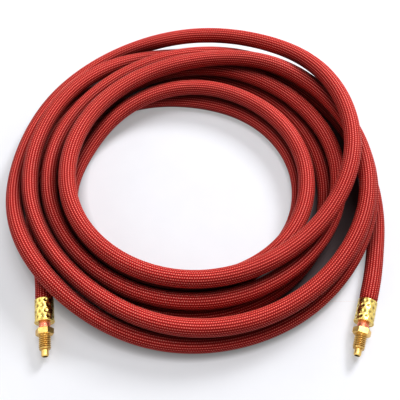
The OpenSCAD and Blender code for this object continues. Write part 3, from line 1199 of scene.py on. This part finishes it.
@dataclass(frozen=True)
class Softbox:
    """A rectangular lamp that faces the cable."""

    name: str
    place: Triple
    size: Pair
    power: float

    def build(self) -> None:
        """Adds the lamp."""
        data = bpy.data.lights.new(self.name, "AREA")
        data.shape = "RECTANGLE"
        data.size, data.size_y = self.size
        data.energy = self.power
        lamp = bpy.data.objects.new(self.name, data)
        lamp.location = self.place
        lamp.rotation_euler = (-Vector(self.place)).to_track_quat("-Z", "Y").to_euler()
        bpy.context.scene.collection.objects.link(lamp)


@dataclass
class Studio:
    """The camera, the floor and the lamps."""

    lens: float = 55.35
    eye: Triple = (4.26 * MM, -300.49 * MM, 486.66 * MM)
    tilt: float = 30.0
    sensor: float = 36.0
    clip: Pair = (0.01, 50.0)
    floor_half: float = 4.0
    sky: Triple = (0.99, 0.99, 1.0)
    sky_strength: float = 0.05
    sky_seen: float = 0.99

    def build_camera(self) -> None:
        """Adds the camera."""
        data = bpy.data.cameras.new("camera")
        data.lens = self.lens
        data.sensor_width = self.sensor
        data.clip_start, data.clip_end = self.clip
        camera = bpy.data.objects.new("camera", data)
        camera.location = self.eye
        camera.rotation_euler = (math.radians(self.tilt), 0.0, 0.0)
        bpy.context.scene.collection.objects.link(camera)
        bpy.context.scene.camera = camera

    def build_floor(self) -> None:
        """Adds the floor."""
        h = self.floor_half
        mesh = bpy.data.meshes.new("floor")
        mesh.from_pydata([(-h, -h, 0), (h, -h, 0), (h, h, 0), (-h, h, 0)], [],
                         [(0, 1, 2, 3)])
        floor = bpy.data.objects.new("floor", mesh)
        mesh.materials.append(FloorFinish().build())
        bpy.context.scene.collection.objects.link(floor)

    def build_lights(self) -> None:
        """Adds the sky and the lamps."""
        g = Graph("sky", sky=True)
        back = g.node("Background")
        back.inputs["Color"].default_value = (*self.sky, 1.0)
        strength = (self.sky_strength, self.sky_seen)
        g.feed(back.inputs["Strength"], g.span(seen_ray(g), (0.0, 1.0), strength))
        g.feed(g.node("OutputWorld").inputs["Surface"], back.outputs[0])
        bpy.context.scene.world = g.owner
        Softbox("key", (0.75, 0.90, 0.95), (0.45, 0.45), 22.0).build()
        Softbox("side", (-1.15, 0.15, 0.85), (1.0, 0.9), 4.0).build()
        Softbox("top", (0.15, 0.35, 1.50), (0.8, 0.8), 12.0).build()
        Softbox("front", (-0.15, -1.10, 1.00), (1.0, 0.8), 1.5).build()


# ---- Putting it together ----


@dataclass
class CableModel:
    """The whole cable, dressed piece by piece."""

    frame: dict[str, Any]
    route: HoseRoute

    def finishes(self) -> dict[Slot, Material]:
        """Returns the materials of the metal and rubber pieces by slot."""
        return {
            Slot.FERRULE: BrassFinish(
                "polished_brass", linear(236, 208, 116), linear(96, 66, 22),
                (0.18, 0.28), turn_depth=0.002 * MM, hollow=0.85).build(),
            Slot.FITTING: BrassFinish(
                "satin_brass", linear(230, 192, 112), linear(120, 78, 30),
                (0.26, 0.38), hollow=0.9).build(),
            # Real copper on the conductor; on the fitting's neck, a painted
            # reflection.
            Slot.COPPER: BrassFinish(
                "copper", linear(236, 150, 122), linear(150, 70, 50),
                (0.24, 0.36)).build(),
            Slot.LINER: RubberFinish().build(),
        }

    def settle(self, piece: Piece, slot: Slot, *nodes: str) -> None:
        """Sets a finished piece on the cable.

        Args:
            piece: the piece.
            slot: the record's material slot; not used.
            nodes: the CAD nodes that it stands for.
        """
        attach(piece, BODY)
        if nodes:
            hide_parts(*nodes)
        LOG.info("%s: %d faces", piece.name, len(piece.data.polygons))

    def dress_node(self, name: str, material: Material) -> None:
        """Gives a CAD node a material.

        Args:
            name: the node's name.
            material: the material.
        """
        node = self.frame["nodes"][name]
        node.data.materials.clear()
        node.data.materials.append(material)
        LOG.info("%s: dressed", name)

    def build(self) -> None:
        hose = BraidedHose(self.route)
        wall, path = hose.build_hose()
        self.settle(wall, Slot.BRAID, "hose_coil", "hose_tail_left", "hose_tail_right")
        braid = wall.data.materials[0]
        looks = self.finishes()
        conductor = hose.build_conductor()
        conductor.data.materials.append(looks[Slot.COPPER])
        self.settle(conductor, Slot.COPPER, "conductor_coil", "conductor_tail_left",
                    "conductor_tail_right")
        for end in End:
            back, way = self.route.end_of(end)
            metal = EndSet(end, back, way)
            ferrule = metal.build_ferrule()
            ferrule.data.materials.append(looks[Slot.FERRULE])
            self.settle(ferrule, Slot.FERRULE, f"ferrule_{end.value}")
            fitting = metal.build_fitting()
            fitting.data.materials.append(looks[Slot.FITTING])
            # The copper on the neck is a painted reddish reflection in the brass.
            fitting.data.materials.append(looks[Slot.COPPER])
            metal.tint_neck_with_painted_reflection(fitting, 1)
            self.settle(fitting, Slot.FITTING, f"fitting_{end.value}")
            for part, look in (("conductor_end", looks[Slot.COPPER]),
                               ("liner_end", looks[Slot.LINER]), ("cover_end", braid)):
                self.dress_node(f"{part}_{end.value}", look)
        tuple(self.route.end_of(End.RIGHT)[0])


def main() -> None:
    """Loads the frame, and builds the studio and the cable."""
    logging.basicConfig(level=logging.INFO, format="%(message)s")
    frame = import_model()
    bpy.context.scene.view_settings.view_transform = "Standard"
    studio = Studio()
    studio.build_camera()
    studio.build_floor()
    studio.build_lights()
    CableModel(frame, HoseRoute()).build()


if __name__ == "__main__":
    main()
